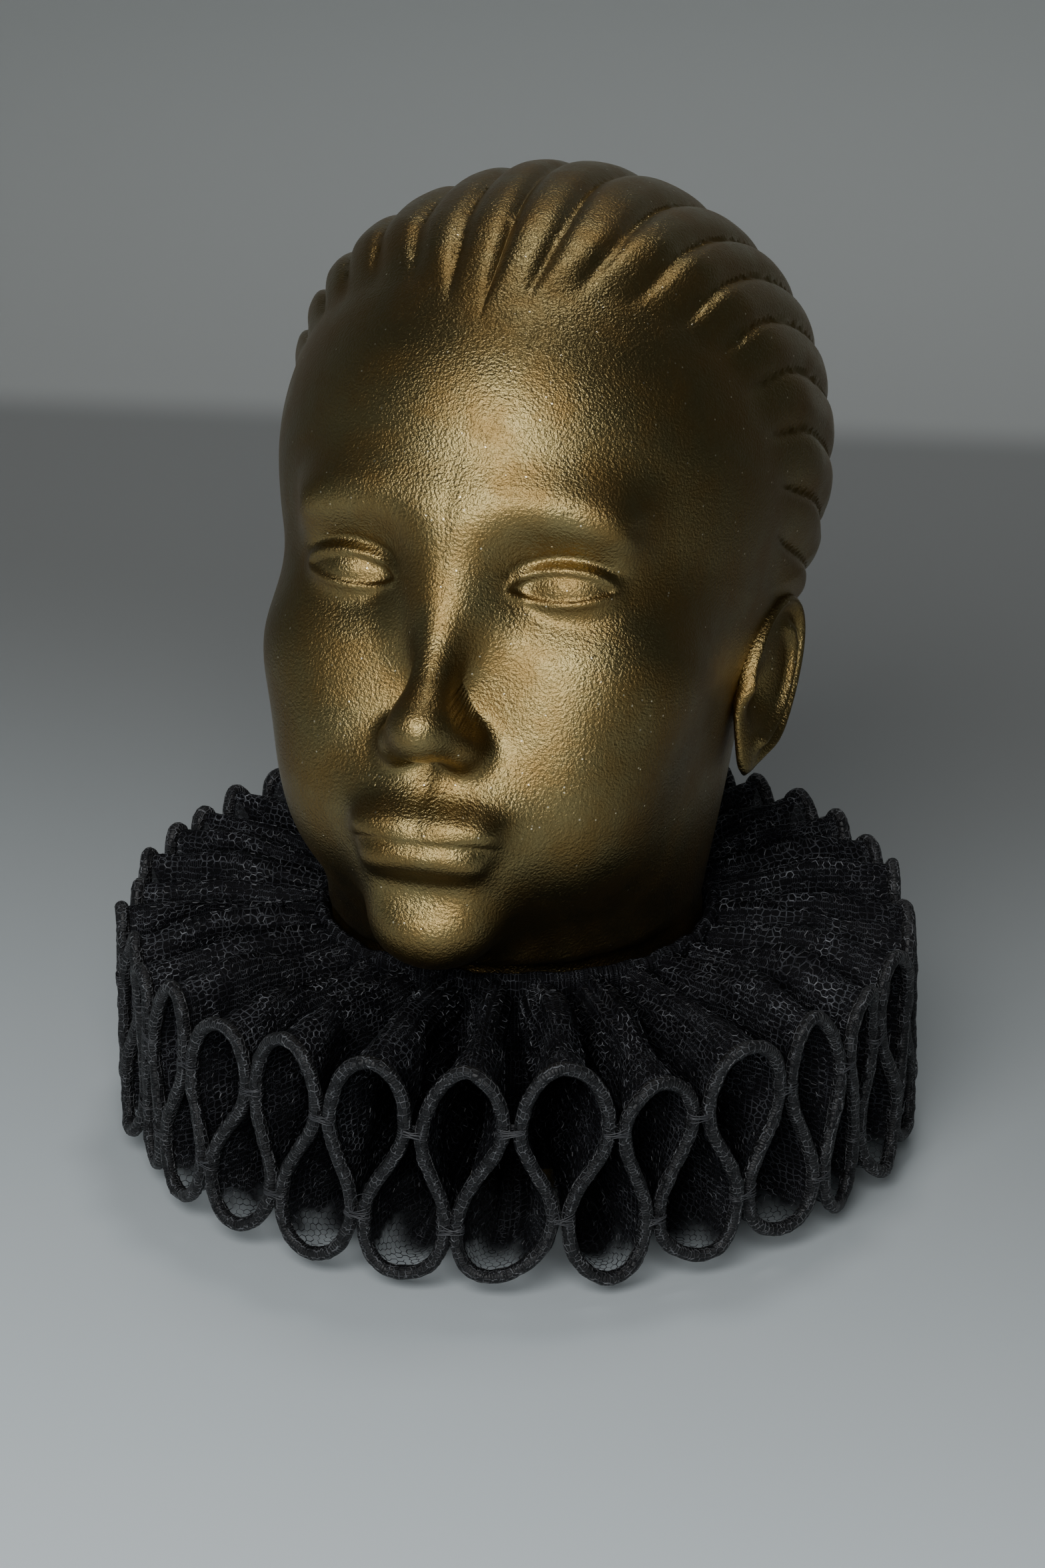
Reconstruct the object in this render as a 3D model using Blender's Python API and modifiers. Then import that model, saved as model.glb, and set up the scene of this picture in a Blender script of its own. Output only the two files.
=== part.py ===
import math

import bpy
import numpy as np
from mathutils import Matrix, Vector

# A pleated net ruff collar, 35 figure-of-eight pleats round a neck, resting on a smooth display head.
# Metres, +Z up. The neck's axis is Z, the floor is z = 0, and the collar opens at the back, toward +Y.

# Ruff
PLEATS = 35
FIRST_LOOP = -21                 # bottom loop at one side of the back opening
LENGTHS = ((-21, -12), (-12, -3), (-3, 6), (6, 14))   # bottom loops where each cut length starts and ends
FRONT_TURN = math.radians(28)    # where pleat 0 stands, round from -Y toward the wearer's left
CORD_RING = 0.1200               # radius of the edge cord's centreline
CORD_RADIUS = 0.0020
KISS = 0.00215                   # half the distance between two runs of cord where they are stitched
WALL = 0.0012                    # net wall
SEAM = 0.0003                    # gap where two cut lengths meet
OPENING = 0.0010                 # gap at the centre back
LEAN = (2.5, 3.0)                # degrees that the loops lean behind the arches: mean, and change round the neck
PITCH_WAVES = (0.215, 0.0575, 0.075)   # how the pleats crowd toward the back
BACK_RISE = 0.0090               # how much higher the edge stands at the back
RISE_FROM, RISE_TO = 0.45, 0.95  # where it rises, as a share of the way from front to back

# radius, arch top, upper stitch, lower stitch, loop bottom, arch half-width as a share of half a pitch
FOLD_ROWS = (
    (0.1176, 0.0723, 0.0529, 0.0237, 0.0075, None),
    (0.0920, 0.0778, 0.0655, 0.0185, 0.0065, 0.46),
    (0.0605, 0.0750, 0.0690, 0.0245, 0.0185, 0.72),
)
CORD_ROW = (CORD_RING, 0.0723, 0.0529, 0.0237, 0.0075, None)
# arch number, lift of its top at the edge
ODD_ARCHES = ((1.5, -0.0075), (-2.5, 0.0012), (3.5, 0.0008), (-5.5, -0.0020), (7.5, -0.0028), (-11.5, -0.0022))
ARCH_STEPS, SIDE_STEPS, LOOP_STEPS = 3, 1, 3

# Neckband
BAND_INNER, BAND_WALL = 0.0575, 0.0015
BAND_BOTTOM, BAND_TOP = 0.0225, 0.0715
BAND_STEPS = 48
PLACKET = (0.0036, 0.0008, 0.0420)   # width, thickness, height
PLACKET_GAP = 0.0003

# Display head
NECK_RADIUS = 0.0570
NECK_TOP_Z = 0.0790
HEAD_TURN = math.radians(11)     # toward the wearer's left
HEAD_TILT = math.radians(17.5)   # back
CHIN_REACH, CHIN_Z = 0.0860, 0.0880   # how far forward of the neck's axis, and how high, the chin's underside is
HEAD_CENTRE_Z = 0.1700
UNDERSIDE_Z = 0.0800             # nothing of the head outside its neck comes lower than this
HEAD_SEGMENTS, HEAD_RINGS = 150, 120
BASE_RINGS, NECK_RINGS = 3, 15   # rings in the flat base, and up to the top of the round neck
FACE_CROWDING = 0.35             # how much closer the points stand on the face than on the back
HEAD_KEPT = 0.156                # share of the sphere's triangles that the finished head keeps
SLIVER = 0.0003                  # points closer than this are joined where the ears meet the head
EAR_CENTRE, EAR_SIZE = (0.0690, 0.0160, 0.0880), (0.0070, 0.0150, 0.0300)   # from the chin's underside level
EAR_FLARE, EAR_TILT = math.radians(24), math.radians(-18)


def material(name, colour, roughness, metallic=0.0):
    m = bpy.data.materials.new(name)
    m.use_nodes = True
    shader = m.node_tree.nodes["Principled BSDF"]
    shader.inputs["Base Color"].default_value = (*colour, 1.0)
    shader.inputs["Roughness"].default_value = roughness
    shader.inputs["Metallic"].default_value = metallic
    m.diffuse_color = (*colour, 1.0)
    return m


def finished(obj, mat, group):
    """The object's evaluated mesh, alone, with its place in its points."""
    bpy.context.view_layer.update()
    graph = bpy.context.evaluated_depsgraph_get()
    mesh = bpy.data.meshes.new_from_object(obj.evaluated_get(graph), depsgraph=graph)
    mesh.transform(obj.matrix_world)
    name = obj.name
    bpy.data.objects.remove(obj)
    done = bpy.data.objects.new(name, mesh)
    mesh.name = name
    mesh.materials.clear()
    mesh.materials.append(mat)
    group.objects.link(done)
    return done


def azimuth(number):
    """World azimuth of a loop (whole number) or arch (half): pleats are wide in front and crowd at the back."""
    u = 2 * math.pi * np.asarray(number, float) / PLEATS
    first, second, back = PITCH_WAVES
    return u + first * np.sin(u) + second * np.sin(2 * u) + back * (1 - np.cos(u)) / 2 + FRONT_TURN


def uneven(number, size, rate, start):
    return size * np.sin(rate * number + start)


def back_rise(number):
    """The edge is level round the front and climbs smoothly behind the sides."""
    way = (1 - np.cos(azimuth(number) - FRONT_TURN)) / 2
    t = np.clip((way - RISE_FROM) / (RISE_TO - RISE_FROM), 0, 1)
    return BACK_RISE * t * t * (3 - 2 * t)


def strip_points(row, first, last):
    """Points of one row of the strip, from bottom loop `first` to `last`, over every arch between them."""
    radius, top, upper, lower, bottom, share = row
    leg = ARCH_STEPS + SIDE_STEPS + LOOP_STEPS
    column = np.arange(2 * leg * (last - first) + 1)
    pleat, place = column // (2 * leg), column % (2 * leg)
    arch = first + pleat + 0.5
    arch[-1] -= 1
    step = np.abs(place - leg)
    step[-1] = leg
    loop = np.where(place > leg, first + pleat + 1, first + pleat)
    loop[-1] = last

    edge = (radius - FOLD_ROWS[-1][0]) / (CORD_RING - FOLD_ROWS[-1][0])
    lift = uneven(arch, 0.0010, 2.4, 0.3)
    for number, rise in ODD_ARCHES:
        lift = np.where(arch == number, rise, lift)
    top_z = top + edge * lift
    upper_z = upper + edge * uneven(loop, 0.0012, 1.9, 1.0)
    lower_z = lower + edge * uneven(arch, 0.0014, 2.9, 0.4)
    bottom_z = bottom + edge * uneven(loop, 0.0009, 2.2, 2.0)

    half = radius * np.abs(azimuth(loop) - azimuth(arch))
    wide = 1 - KISS * radius / CORD_RING / half if share is None else np.full(len(column), share)

    # An arch is a quarter ellipse, a side is half a cosine wave and a loop is a quarter ellipse.
    a = np.clip(step / ARCH_STEPS, 0, 1) * math.pi / 2
    s = np.clip((step - ARCH_STEPS) / SIDE_STEPS, 0, 1)
    b = np.clip((step - ARCH_STEPS - SIDE_STEPS) / LOOP_STEPS, 0, 1) * math.pi / 2
    in_arch, in_side = step <= ARCH_STEPS, step <= ARCH_STEPS + SIDE_STEPS
    across = np.where(
        in_arch,
        wide * np.sin(a),
        np.where(in_side, wide + (1 - 2 * wide) * (1 - np.cos(math.pi * s)) / 2, 1 - wide * np.cos(b)),
    )
    z = np.where(
        in_arch,
        top_z - (top_z - upper_z) * (1 - np.cos(a)),
        np.where(in_side, upper_z + (lower_z - upper_z) * s, bottom_z + (lower_z - bottom_z) * (1 - np.sin(b))),
    )
    number = arch + (loop - arch) * across
    turn = azimuth(arch) + (azimuth(loop) - azimuth(arch)) * across
    lean = np.radians(LEAN[0] - LEAN[1] * np.sin(2 * math.pi * number / PLEATS))
    turn = turn - lean * (1 - (z - CORD_ROW[4]) / (CORD_ROW[1] - CORD_ROW[4]))
    return turn, z + edge * back_rise(number)


def placed(turn, z, radius):
    return np.stack([radius * np.sin(turn), -radius * np.cos(turn), z], axis=-1)


def end_gaps(first, last):
    back = OPENING / 2
    return (
        back if first == LENGTHS[0][0] else SEAM / 2,
        back if last == LENGTHS[-1][1] else SEAM / 2,
    )


def row_points(row, first, last):
    turn, z = strip_points(row, first, last)
    start, stop = end_gaps(first, last)
    turn[0] += start / row[0]
    turn[-1] -= stop / row[0]
    return placed(turn, z, row[0])


def grid_object(name, rows):
    """An open sheet through rows of points."""
    across = len(rows[0])
    points = np.concatenate(rows)
    column = np.arange(across - 1)
    faces = [
        (int(i), int(i + 1), int(i + 1 + across), int(i + across))
        for r in range(len(rows) - 1)
        for i in r * across + column
    ]
    mesh = bpy.data.meshes.new(name)
    mesh.from_pydata(points.tolist(), [], faces)
    mesh.update()
    obj = bpy.data.objects.new(name, mesh)
    bpy.context.scene.collection.objects.link(obj)
    return obj


def thicken(obj, wall, offset):
    solid = obj.modifiers.new("wall", "SOLIDIFY")
    solid.thickness = wall
    solid.offset = offset
    solid.use_even_offset = True
    solid.use_quality_normals = True


def square_ends(mesh, rows):
    """Turn the thickened end columns back to the plane of each seam, so that both lengths end square to it."""
    across, count = len(rows[0]), sum(len(r) for r in rows)
    p = np.empty(len(mesh.vertices) * 3)
    mesh.vertices.foreach_get("co", p)
    p = p.reshape(-1, 3)
    for at in (0, across - 1):
        for r, row in enumerate(rows):
            turn = math.atan2(row[at][0], -row[at][1])
            for i in (r * across + at, count + r * across + at):
                p[i] = placed(turn, p[i][2], math.hypot(p[i][0], p[i][1]))
    mesh.vertices.foreach_set("co", p.ravel())
    mesh.update()


def lace_length(number, first, last, mat, group):
    rows = [row_points(row, first, last) for row in FOLD_ROWS]
    obj = grid_object(f"lace_length_{number}", rows)
    thicken(obj, WALL, 0.0)
    done = finished(obj, mat, group)
    square_ends(done.data, rows)
    return done


def edge_cord(mat, group):
    points = row_points(CORD_ROW, LENGTHS[0][0], LENGTHS[-1][1])
    curve = bpy.data.curves.new("edge_cord", "CURVE")
    curve.dimensions = "3D"
    curve.bevel_depth = CORD_RADIUS
    curve.bevel_resolution = 1
    curve.use_fill_caps = True
    curve.twist_mode = "MINIMUM"
    spline = curve.splines.new("POLY")
    spline.points.add(len(points) - 1)
    spline.points.foreach_set("co", np.c_[points, np.ones(len(points))].ravel())
    obj = bpy.data.objects.new("edge_cord", curve)
    bpy.context.scene.collection.objects.link(obj)
    return finished(obj, mat, group)


def neckband(mat, group):
    gap = OPENING / 2 / BAND_INNER
    turn = azimuth(LENGTHS[-1][1]) + np.linspace(gap, 2 * math.pi - gap, BAND_STEPS + 1)
    rows = [placed(turn, np.full(len(turn), z), BAND_INNER) for z in (BAND_TOP, BAND_BOTTOM)]
    obj = grid_object("neckband", rows)
    thicken(obj, BAND_WALL, -1.0)
    return finished(obj, mat, group)


def back_placket(mat, group):
    width, thick, height = PLACKET
    turn = float(azimuth(LENGTHS[-1][1]))
    radius = BAND_INNER + BAND_WALL + PLACKET_GAP + thick / 2
    bpy.ops.mesh.primitive_cube_add(size=1)
    obj = bpy.context.object
    obj.name = "back_placket"
    obj.scale = (width, thick, height)
    obj.location = (radius * math.sin(turn), -radius * math.cos(turn), (BAND_TOP + BAND_BOTTOM) / 2)
    obj.rotation_euler = (0, 0, turn)
    return finished(obj, mat, group)


# Head forms, in millimetres from the level of the chin's underside, x to the left ear and y to the back:
# name, centre, half sizes, blend, mirrored, added (1) or taken away (-1)
HEAD_FORMS = (
    ("cranium", (0, 16, 151), (78, 96, 85), 0, 0, 1),
    ("forehead", (0, -26, 147), (63.5, 61, 57), 30, 0, 1),
    ("face", (0, -24, 82), (57, 60, 78), 30, 0, 1),
    ("jaw", (0, -30, 47), (51, 46, 34), 24, 0, 1),
    ("chin", (0, -74, 14), (18, 14, 14), 20, 0, 1),
    ("cheekbone", (38, -50, 88), (24, 25, 18.5), 26, 1, 1),
    ("cheek", (29, -56, 60), (22, 22, 28), 22, 1, 1),
    ("muzzle", (0, -74, 43.5), (23, 17.5, 22), 16, 0, 1),
    ("brow", (20, -78, 131), (26, 10, 7.5), 18, 1, 1),
    ("socket", (31, -98, 115), (18, 16, 11), 16, 1, -1),
    ("nose root", (0, -80, 113), (9, 8, 17.5), 12, 0, 1),
    ("eye", (31, -70, 113), (15, 12.5, 11), 4, 1, 1),
    ("nose tip", (0, -101, 70), (8.5, 9, 8), 8, 0, 1),
    ("nose wing", (11, -92, 66), (6, 8.5, 6.2), 6, 1, 1),
    ("upper lip", (6.5, -90.5, 42), (14, 6.2, 4.3), 5, 1, 1),
    ("lower lip", (0, -89, 32.5), (16.5, 8, 5.6), 5, 0, 1),
    ("lip hollow", (0, -100, 22), (18, 11, 5), 10, 0, -1),
)
NOSE_BRIDGE = ((0, -82, 117), (0, -100, 72), 4.5, 6.5)
BRIDGE_BLEND = 10
CHIN = (0, -72, 0)          # the chin's underside, about which the head is tilted
NECK_LEAN = (82, 165, 38)   # from this height to this one, the neck leans back by so much
NECK_BLEND = 22


def head_place():
    """Places the head's forms, in metres, over the neck."""
    chin = Vector((CHIN_REACH * math.sin(HEAD_TURN), -CHIN_REACH * math.cos(HEAD_TURN), CHIN_Z))
    turned = Matrix.Rotation(HEAD_TURN, 4, "Z") @ Matrix.Rotation(-HEAD_TILT, 4, "X")
    return Matrix.Translation(chin) @ turned @ Matrix.Translation(-Vector(CHIN) / 1000)


def ellipsoid(p, centre, size):
    q = (p - centre) / size
    near = np.linalg.norm(q, axis=1)
    slope = np.linalg.norm(q / size, axis=1)
    return near * (near - 1) / np.maximum(slope, 1e-9)


def round_bar(p, start, stop, r0, r1):
    start, stop = np.array(start, float), np.array(stop, float)
    along = stop - start
    t = np.clip((p - start) @ along / (along @ along), 0, 1)
    return np.linalg.norm(p - start - t[:, None] * along, axis=1) - (r0 + (r1 - r0) * t)


def joined(a, b, blend):
    h = np.maximum(blend - np.abs(a - b), 0)
    return np.minimum(a, b) - h * h / (4 * blend)


def head_field(p):
    """Distance, in millimetres, from the head's surface: smooth unions of the forms above and a round neck."""
    start, stop, lean = NECK_LEAN
    back = lean * np.clip((p[:, 2] - start) / (stop - start), 0, 1)
    neck = np.maximum(np.hypot(p[:, 0], p[:, 1] - back) - NECK_RADIUS * 1000, p[:, 2] - stop)
    to_head = np.array(head_place().inverted())
    q = p @ to_head[:3, :3].T + to_head[:3, 3] * 1000
    folded = np.c_[np.abs(q[:, 0]), q[:, 1:]]
    total = joined(ellipsoid(q, *HEAD_FORMS[0][1:3]), neck, NECK_BLEND)
    for _, centre, size, blend, mirrored, sign in HEAD_FORMS[1:]:
        part = ellipsoid(folded if mirrored else q, centre, size)
        total = sign * joined(sign * total, part, blend)
    return joined(total, round_bar(q, *NOSE_BRIDGE), BRIDGE_BLEND)


def head_reach(way):
    """How far the surface is from the head's centre along each direction, found by marching inward."""
    far = np.full(len(way), 175.0)
    for _ in range(110):
        far -= np.clip(head_field((0, 0, HEAD_CENTRE_Z * 1000) + way * far[:, None]) * 0.6, -3, 8)
    return far / 1000


def display_head(mat, group):
    """A sphere whose rings are turned to named heights, with its points moved out to the head's surface."""
    bpy.ops.mesh.primitive_uv_sphere_add(segments=HEAD_SEGMENTS, ring_count=HEAD_RINGS, radius=1)
    obj = bpy.context.object
    obj.name = "display_head"
    mesh = obj.data
    p = np.empty(len(mesh.vertices) * 3)
    mesh.vertices.foreach_get("co", p)
    p = p.reshape(-1, 3)
    ring = np.round(np.arccos(np.clip(-p[:, 2], -1, 1)) * HEAD_RINGS / math.pi)   # 0 at the base
    rim = math.atan(NECK_RADIUS / HEAD_CENTRE_Z)
    collar = math.atan(NECK_RADIUS / (HEAD_CENTRE_Z - NECK_TOP_Z))
    tilt = np.interp(ring, (0, BASE_RINGS, NECK_RINGS, HEAD_RINGS), (0, rim, collar, math.pi))
    turn = np.arctan2(p[:, 0], -p[:, 1])
    turn = turn - FACE_CROWDING * np.sin(turn)
    way = np.stack([np.sin(tilt) * np.sin(turn), -np.sin(tilt) * np.cos(turn), -np.cos(tilt)], axis=1)
    # Below the top of the neck the surface is an exact cylinder on a flat base.
    lowest = np.where(ring <= NECK_RINGS, 0, UNDERSIDE_Z)
    floor = (HEAD_CENTRE_Z - lowest) / np.maximum(np.cos(tilt), 0.01)
    wall = NECK_RADIUS / np.maximum(np.sin(tilt), 1e-6)
    far = np.where(ring <= NECK_RINGS, np.minimum(floor, wall), np.minimum(head_reach(way), floor))
    points = way * far[:, None] + (0, 0, HEAD_CENTRE_Z)
    points[ring <= BASE_RINGS, 2] = 0
    mesh.vertices.foreach_set("co", points.ravel())
    mesh.update()

    ears = []
    for side in (1, -1):
        bpy.ops.mesh.primitive_uv_sphere_add(segments=24, ring_count=16, radius=1)
        ear = bpy.context.object
        ear.name = "ear"
        turned = Matrix.Rotation(-side * EAR_FLARE, 4, "Z") @ Matrix.Rotation(EAR_TILT, 4, "X")
        place = Vector((side * EAR_CENTRE[0], EAR_CENTRE[1], EAR_CENTRE[2]))
        ear.data.transform(head_place() @ Matrix.Translation(place) @ turned @ Matrix.Diagonal((*EAR_SIZE, 1)))
        join = obj.modifiers.new("ear", "BOOLEAN")
        join.operation = "UNION"
        join.solver = "EXACT"
        join.object = ear
        ears.append(ear)
    weld = obj.modifiers.new("weld", "WELD")
    weld.merge_threshold = SLIVER
    fewer = obj.modifiers.new("fewer", "DECIMATE")
    fewer.ratio = HEAD_KEPT
    done = finished(obj, mat, group)
    for ear in ears:
        bpy.data.objects.remove(ear)
    return done


for old in list(bpy.data.objects):
    bpy.data.objects.remove(old)

ruff = bpy.data.collections.new("ruff_collar")
bpy.context.scene.collection.children.link(ruff)

display_head(material("gold_paint", (0.62, 0.46, 0.20), 0.35, 1.0), ruff)
neckband(material("black_band", (0.020, 0.020, 0.022), 0.8), ruff)
back_placket(material("black_placket", (0.025, 0.025, 0.028), 0.8), ruff)
edge_cord(material("black_cord", (0.030, 0.030, 0.034), 0.75), ruff)
for count, (begin, end) in enumerate(LENGTHS, 1):
    shade = 0.035 + 0.004 * count
    lace_length(count, begin, end, material(f"black_net_{count}", (shade, shade, shade * 1.1), 0.7), ruff)
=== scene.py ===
import math
import bpy
import numpy as np
from mathutils import Matrix, Vector


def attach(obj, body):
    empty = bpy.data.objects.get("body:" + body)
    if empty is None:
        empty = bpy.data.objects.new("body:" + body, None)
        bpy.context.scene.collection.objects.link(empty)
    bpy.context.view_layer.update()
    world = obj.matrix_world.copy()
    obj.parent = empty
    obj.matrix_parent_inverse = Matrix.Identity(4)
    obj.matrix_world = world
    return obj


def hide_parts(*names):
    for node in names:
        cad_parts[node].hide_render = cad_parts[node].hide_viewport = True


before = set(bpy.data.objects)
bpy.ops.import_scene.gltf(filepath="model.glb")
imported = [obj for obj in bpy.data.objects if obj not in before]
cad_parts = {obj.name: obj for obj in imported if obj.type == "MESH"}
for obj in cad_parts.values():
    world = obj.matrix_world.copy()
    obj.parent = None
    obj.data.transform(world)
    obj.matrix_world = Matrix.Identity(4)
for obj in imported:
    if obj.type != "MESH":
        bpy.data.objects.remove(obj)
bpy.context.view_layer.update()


# helpers

def linkMesh(name, points, quads, uv=None, smooth=True, fans=()):
    # quads, then any triangles that close poles
    mesh = bpy.data.meshes.new(name)
    points = np.ascontiguousarray(points, dtype=np.float32).reshape(-1, 3)
    fans = np.asarray(fans, dtype=np.int32).reshape(-1, 3)
    corners = np.concatenate([np.asarray(quads, dtype=np.int32).ravel(), fans.ravel()])
    starts = np.cumsum([0] + [4] * len(quads) + [3] * len(fans))[:-1]
    for part, label, values in ((mesh.vertices, "co", points), (mesh.loops, "vertex_index", corners),
                                (mesh.polygons, "loop_start", starts.astype(np.int32))):
        part.add(len(values))
        part.foreach_set(label, values.ravel())
    if uv is not None:
        layer = mesh.uv_layers.new(name="UVMap")
        layer.data.foreach_set("uv", np.asarray(uv, dtype=np.float32)[corners].ravel())
    mesh.update(calc_edges=True)
    mesh.validate()
    if smooth:
        mesh.polygons.foreach_set("use_smooth", np.ones(len(mesh.polygons), dtype=bool))
    obj = bpy.data.objects.new(name, mesh)
    bpy.context.scene.collection.objects.link(obj)
    return obj


def gridFaces(rows, cols, closed=False):
    # quads of a grid whose points run along each row; closed joins the last column to the first
    r = np.arange(rows - 1)[:, None] * cols
    c = np.arange(cols if closed else cols - 1)[None, :]
    n = (c + 1) % cols
    return np.stack([r + c, r + n, r + cols + n, r + cols + c], axis=-1).reshape(-1, 4)


def poleFans(rows, cols, firstPole, lastPole):
    # triangles that close the first and the last row of a closed grid, each to a pole
    c = np.arange(cols)
    n, last = (c + 1) % cols, (rows - 1) * cols
    fans = [(c, 0 * c + firstPole, n), (last + c, last + n, 0 * c + lastPole)]
    return np.concatenate([np.stack(fan, axis=-1) for fan in fans])


def smoothStep(a, b, x):
    t = np.clip((x - a) / (b - a), 0, 1)
    return t * t * (3 - 2 * t)


def bell(x, middle, width):
    return np.exp(-(((x - middle) / width) ** 2))


def ripple(x, y, seed, terms=9):
    # soft noise between about -1 and 1: a sum of sine waves in random directions
    waves = np.random.default_rng(seed)
    total = np.zeros(np.broadcast(x, y).shape)
    for _ in range(terms):
        turn = waves.uniform(0, 2 * math.pi)
        rate = waves.uniform(0.6, 1.7)
        start = waves.uniform(0, 2 * math.pi)
        total = total + np.sin(rate * (x * math.cos(turn) + y * math.sin(turn)) + start)
    return total / math.sqrt(terms * 1.3)


def unit(v):
    return v / np.maximum(np.linalg.norm(v, axis=-1, keepdims=True), 1e-12)


def circle(count):
    return np.linspace(0, 2 * math.pi, count, endpoint=False)


def gaps(points, axis=0):
    return np.linalg.norm(np.diff(points, axis=axis), axis=-1)


def running(steps):
    return np.concatenate([[0], np.cumsum(steps)])


def flatPlaces(along, over):
    return np.stack(np.broadcast_arrays(along, over), axis=-1).reshape(-1, 2)


def tubes(paths, radius, sides, pinch=0.05):
    # closed round threads along paths of points (path x step x 3), each pinched to a point at both ends
    count, steps = paths.shape[:2]
    ahead = unit(np.gradient(paths, axis=1))
    side = unit(np.cross(ahead, np.array([0.31, 0.17, 0.93])))
    over = np.cross(ahead, side)
    omega = circle(sides)[None, None, :, None]
    thick = np.broadcast_to(radius, (count, steps)).copy()
    thick[:, [0, -1]] *= pinch
    skin = paths[:, :, None] + thick[:, :, None, None] * (
        np.cos(omega) * side[:, :, None] + np.sin(omega) * over[:, :, None])
    faces = gridFaces(steps, sides, closed=True) + np.arange(count)[:, None, None] * steps * sides
    return skin.reshape(-1, 3), faces.reshape(-1, 4)


# shader nodes

class Maths:
    # nodes and small maths on shader sockets, kept in one tree
    def __init__(self, tree):
        self.tree = tree

    def give(self, socket, value):
        # a plain number, vector or colour, or a link from another socket
        if isinstance(value, tuple) and socket.type == "RGBA":
            value = (*value, 1.0)
        if isinstance(value, (int, float, tuple)):
            socket.default_value = value
        else:
            self.tree.links.new(value, socket)

    def node(self, kind, inputs, **settings):
        made = self.tree.nodes.new("ShaderNode" + kind)
        for name, value in settings.items():
            setattr(made, name, value)
        for label, value in inputs.items():
            self.give(made.inputs[label], value)
        return made

    def do(self, kind, *values, clamp=False):
        return self.node("Math", dict(enumerate(values)), operation=kind, use_clamp=clamp).outputs[0]

    def range(self, value, low, high, toLow=0.0, toHigh=1.0, smooth=True):
        inputs = {"Value": value, "From Min": low, "From Max": high, "To Min": toLow, "To Max": toHigh}
        made = self.node("MapRange", inputs, interpolation_type="SMOOTHSTEP" if smooth else "LINEAR")
        return made.outputs["Result"]

    def noise(self, vector, scale, detail=2.0, rough=0.5):
        inputs = {"Vector": vector, "Scale": scale, "Detail": detail, "Roughness": rough}
        return self.node("TexNoise", inputs).outputs["Fac"]

    def split(self, vector):
        return self.node("SeparateXYZ", {0: vector}).outputs

    def ownPlace(self):
        return self.node("TexCoord", {}).outputs["Object"]

    def mixColour(self, factor, a, b):
        return self.node("Mix", {0: factor, 6: a, 7: b}, data_type="RGBA").outputs[2]

    def bump(self, shader, height, strength, distance):
        made = self.node("Bump", {"Strength": strength, "Distance": distance, "Height": height})
        self.give(shader["Normal"], made.outputs["Normal"])


def newGroup(name, inputs, outputs):
    group = bpy.data.node_groups.new(name, "ShaderNodeTree")
    for label, kind in inputs:
        group.interface.new_socket(label, in_out="INPUT", socket_type="NodeSocket" + kind)
    for label in outputs:
        group.interface.new_socket(label, in_out="OUTPUT", socket_type="NodeSocketFloat")
    given, out = group.nodes.new("NodeGroupInput"), group.nodes.new("NodeGroupOutput")
    return group, Maths(group), given.outputs, out.inputs


def newMaterial(name, inputs):
    material = bpy.data.materials.new(name)
    material.use_nodes = True
    m = Maths(material.node_tree)
    shader = material.node_tree.nodes["Principled BSDF"].inputs
    for label, value in inputs.items():
        m.give(shader[label], value)
    return material, m, shader


# the ruff's folds, in the frame's own sizes

folds = {
    "pleats": 35, "firstLoop": -21, "lastLoop": 14, "seams": (-21, -12, -3, 6, 14), "frontTurn": 28.0,
    "pitchWaves": (0.215, 0.0575, 0.075), "lean": (2.5, 3.0),
    "cordRing": 0.1200, "kiss": 0.00215, "neck": 0.0605, "opening": 0.0010,
    "backRise": 0.0090, "riseOver": (0.45, 0.95),
    # heights of arch top, upper stitch, lower stitch and loop bottom: cord, a middle radius, neck
    "top": 0.0723, "upper": 0.0529, "lower": 0.0237, "bottom": 0.0075,
    "middle": 0.0920, "atMiddle": (0.0778, 0.0655, 0.0185, 0.0065),
    "atNeck": (0.0750, 0.0690, 0.0245, 0.0185),
    # size, rate and start of the unevenness at each of the four heights, and odd arches
    "uneven": ((0.0010, 2.4, 0.3), (0.0012, 1.9, 1.0), (0.0014, 2.9, 0.4), (0.0009, 2.2, 2.0)),
    "oddArches": ((1.5, -0.0075), (-2.5, 0.0012), (3.5, 0.0008), (-5.5, -0.0020), (7.5, -0.0028),
                  (-11.5, -0.0022)),
    # shares of a leg where its bends end and start, and of its swing at the neck and the middle radius
    "bends": (0.33, 0.70), "inner": (0.72, 0.46), "narrowing": 0.9, "samples": 121,
}
foldTable = np.array([
    (folds["cordRing"], folds["top"], folds["upper"], folds["lower"], folds["bottom"]),
    (folds["middle"], *folds["atMiddle"]),
    (folds["neck"], *folds["atNeck"]),
])


def phase(number):
    return 2 * math.pi * np.asarray(number, float) / folds["pleats"]


def azimuth(number):
    u = phase(number)
    first, second, back = folds["pitchWaves"]
    wave = first * np.sin(u) + second * np.sin(2 * u) + back * (1 - np.cos(u)) / 2
    return u + wave + math.radians(folds["frontTurn"])


def leanAt(number, z):
    lean = np.radians(folds["lean"][0] - folds["lean"][1] * np.sin(phase(number)))
    return lean * (1 - (z - folds["bottom"]) / (folds["top"] - folds["bottom"]))


def backRise(number):
    way = (1 - np.cos(azimuth(number) - math.radians(folds["frontTurn"]))) / 2
    return folds["backRise"] * smoothStep(*folds["riseOver"], way)


def lift(level, number):
    # how much single arches and loops differ: level 0 is the arches' tops, 3 the loops' bottoms
    size, rate, start = folds["uneven"][level]
    rise = size * np.sin(rate * number + start)
    for arch, own in folds["oddArches"] if level == 0 else ():
        rise = np.where(number == arch, own, rise)
    return rise


def around(turn, z, radius):
    return np.stack([radius * np.sin(turn), -radius * np.cos(turn), z + 0 * turn], axis=-1)


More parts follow.
